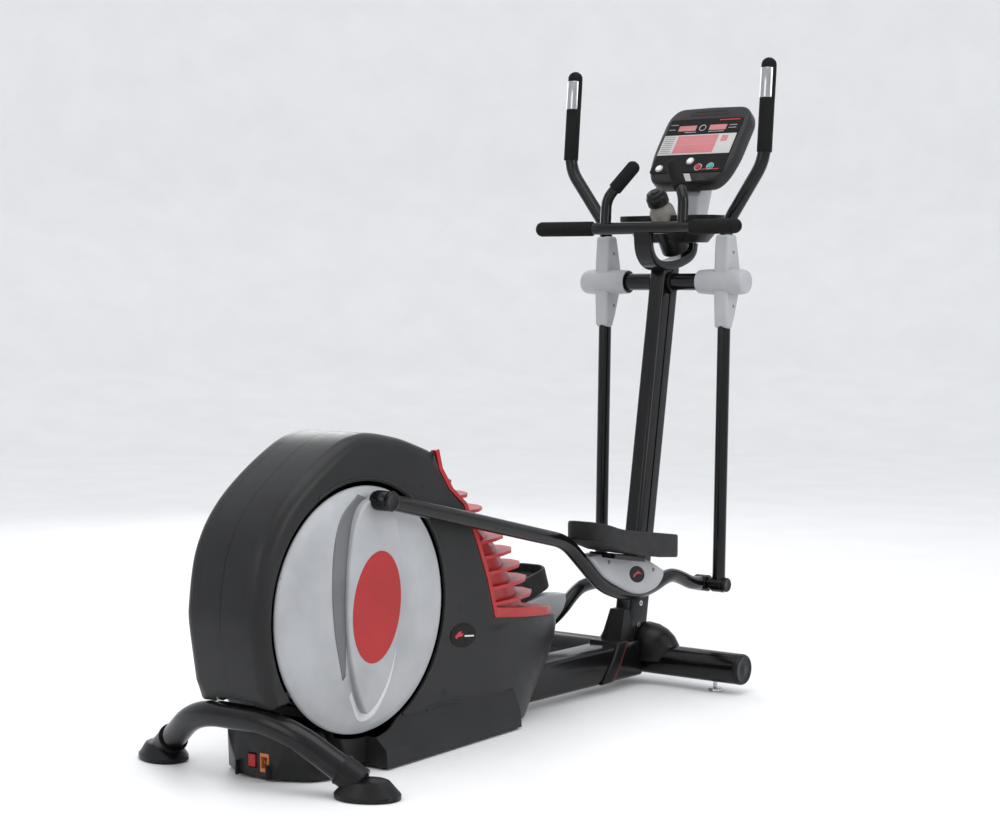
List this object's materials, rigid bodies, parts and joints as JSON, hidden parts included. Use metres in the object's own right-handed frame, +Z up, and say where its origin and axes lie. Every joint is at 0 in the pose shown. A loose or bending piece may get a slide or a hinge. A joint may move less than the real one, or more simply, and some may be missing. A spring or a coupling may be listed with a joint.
{
  "type": "elliptical trainer",
  "caption": "Rear-drive elliptical trainer with a disc-cranked housing, pedal arms, swinging handles, a fixed handlebar, bottle tray and console.",
  "frame": {"origin": "on the floor, under the centre of the machine's bounding box", "axes": "+Y from the crank housing at the rear to the console at the front, +X to the user's right, +Z up"},
  "size_m": [0.7902, 2.0618, 1.74],
  "materials": {
    "black_paint": "gloss black powder coat",
    "charcoal_plastic": "satin charcoal moulding",
    "black_plastic": "black moulding",
    "silver_plastic": "silver painted moulding",
    "red_plastic": "red moulding",
    "amber_plastic": "amber moulding",
    "teal_plastic": "teal moulding",
    "white_plastic": "white moulding",
    "overlay_plastic": "printed black overlay",
    "bottle_plastic": "grey moulding",
    "tread_rubber": "moulded tread",
    "grip_foam": "foam sleeve",
    "belt_rubber": "ribbed belt",
    "steel": "turned steel",
    "cast_iron": "cast and turned"
  },
  "bodies": {
    "machine": {"base_frame": "black_paint", "rear_stabilizer": "black_paint", "left_rear_foot": "black_plastic", "right_rear_foot": "black_plastic", "front_stabilizer": "black_paint", "left_front_cap": "black_plastic", "right_front_cap": "black_plastic", "mast": "black_paint", "mast_boot": "black_plastic", "left_fairing": "black_plastic", "right_fairing": "black_plastic", "left_shell": "charcoal_plastic", "right_shell": "charcoal_plastic", "front_grille": "red_plastic", "power_box": "charcoal_plastic", "power_inlet": "amber_plastic", "left_crank_bearing": "steel", "right_crank_bearing": "steel", "drive_belt": "belt_rubber", "brake_magnet": "steel", "crossbar_axle": "black_paint", "fixed_handlebar": "black_paint", "left_bar_grip": "grip_foam", "right_bar_grip": "grip_foam", "left_horn_grip": "grip_foam", "right_horn_grip": "grip_foam", "accessory_tray": "black_plastic", "bottle_holder": "black_plastic", "console_shell": "charcoal_plastic", "console_face": "overlay_plastic", "console_neck": "silver_plastic"},
    "crank": {"crank_axle": "steel", "drive_pulley": "black_plastic", "left_crank_disc": "silver_plastic", "right_crank_disc": "silver_plastic"},
    "flywheel": {"flywheel": "cast_iron"},
    "idler": {"idler_wheel": "steel"},
    "right_arm": {"right_swing_arm": "black_paint", "right_pivot_cover": "silver_plastic", "right_handle_grip": "grip_foam"},
    "left_arm": {"left_swing_arm": "black_paint", "left_pivot_cover": "silver_plastic", "left_handle_grip": "grip_foam"},
    "right_knuckle": {"right_front_pivot": "steel"},
    "left_knuckle": {"left_front_pivot": "steel"},
    "right_pedal_link": {"right_pedal_arm": "black_paint", "right_arm_cover": "silver_plastic", "right_pedal": "tread_rubber"},
    "left_pedal_link": {"left_pedal_arm": "black_paint", "left_arm_cover": "silver_plastic", "left_pedal": "tread_rubber"},
    "bottle": {"water_bottle": "bottle_plastic", "bottle_cap": "black_plastic"},
    "switch_rocker": {"power_switch": "red_plastic"},
    "stop_key": {"stop_button": "red_plastic"},
    "start_key": {"start_button": "teal_plastic"},
    "up_key": {"up_button": "white_plastic"},
    "down_key": {"down_button": "white_plastic"},
    "right_leveller": {"right_levelling_foot": "steel"},
    "left_leveller": {"left_levelling_foot": "steel"}
  },
  "joints": [
    {"name": "crank_spin", "type": "hinge", "parent": "machine", "child": "crank", "pos_m": [0, -0.705, 0.37], "axis": [1, 0, 0], "continuous": true},
    {"name": "flywheel_spin", "type": "hinge", "parent": "machine", "child": "flywheel", "pos_m": [0, -0.323, 0.29], "axis": [1, 0, 0], "continuous": true},
    {"name": "idler_spin", "type": "hinge", "parent": "machine", "child": "idler", "pos_m": [0.085, -0.4623, 0.2211], "axis": [1, 0, 0], "continuous": true},
    {"name": "right_swing", "type": "hinge", "parent": "machine", "child": "right_arm", "pos_m": [0.203, 0.727, 1.126], "axis": [1, 0, 0], "range_deg": [-15.9, 13.2]},
    {"name": "left_swing", "type": "hinge", "parent": "machine", "child": "left_arm", "pos_m": [-0.203, 0.727, 1.126], "axis": [1, 0, 0], "range_deg": [-13.2, 15.9]},
    {"name": "right_knuckle_turn", "type": "hinge", "parent": "right_arm", "child": "right_knuckle", "pos_m": [0.203, 0.704, 0.279], "axis": [1, 0, 0], "range_deg": [-13.2, 15.9]},
    {"name": "left_knuckle_turn", "type": "hinge", "parent": "left_arm", "child": "left_knuckle", "pos_m": [-0.203, 0.707, 0.279], "axis": [1, 0, 0], "range_deg": [-15.9, 13.2]},
    {"name": "right_pedal_pitch", "type": "hinge", "parent": "right_knuckle", "child": "right_pedal_link", "pos_m": [0.15, 0.704, 0.279], "axis": [1, 0, 0], "range_deg": [0, 20.4]},
    {"name": "left_pedal_pitch", "type": "hinge", "parent": "left_knuckle", "child": "left_pedal_link", "pos_m": [-0.15, 0.707, 0.279], "axis": [1, 0, 0], "range_deg": [-20.4, 0]},
    {"name": "bottle_lift", "type": "slide", "parent": "machine", "child": "bottle", "axis": [0, -0.5656, 0.8247], "range_m": [0, 0.14]},
    {"name": "power_rocker", "type": "hinge", "parent": "machine", "child": "switch_rocker", "pos_m": [-0.007, -0.935, 0.043], "axis": [1, 0, 0], "range_deg": [0, 16]},
    {"name": "stop_press", "type": "slide", "parent": "machine", "child": "stop_key", "axis": [0, 0.8018, -0.5976], "range_m": [0, 0.0015], "stiffness_N_per_m": 300},
    {"name": "start_press", "type": "slide", "parent": "machine", "child": "start_key", "axis": [0, 0.8018, -0.5976], "range_m": [0, 0.0015], "stiffness_N_per_m": 300},
    {"name": "up_press", "type": "slide", "parent": "machine", "child": "up_key", "axis": [0, 0.8018, -0.5976], "range_m": [0, 0.0015], "stiffness_N_per_m": 300},
    {"name": "down_press", "type": "slide", "parent": "machine", "child": "down_key", "axis": [0, 0.8018, -0.5976], "range_m": [0, 0.0015], "stiffness_N_per_m": 300},
    {"name": "right_leveller_screw", "type": "slide", "parent": "machine", "child": "right_leveller", "axis": [0, 0, 1], "range_m": [0, 0.014]},
    {"name": "left_leveller_screw", "type": "slide", "parent": "machine", "child": "left_leveller", "axis": [0, 0, 1], "range_m": [0, 0.014]}
  ],
  "couplings": [
    {"joint": "flywheel_spin", "follows": "crank_spin", "ratio": 7.5},
    {"joint": "idler_spin", "follows": "crank_spin", "ratio": -6},
    {"joint": "left_swing", "follows": "right_swing", "ratio": -1},
    {"joint": "right_knuckle_turn", "follows": "right_swing", "ratio": -1},
    {"joint": "left_knuckle_turn", "follows": "right_swing", "ratio": 1},
    {"joint": "left_pedal_pitch", "follows": "right_pedal_pitch", "ratio": -1}
  ]
}
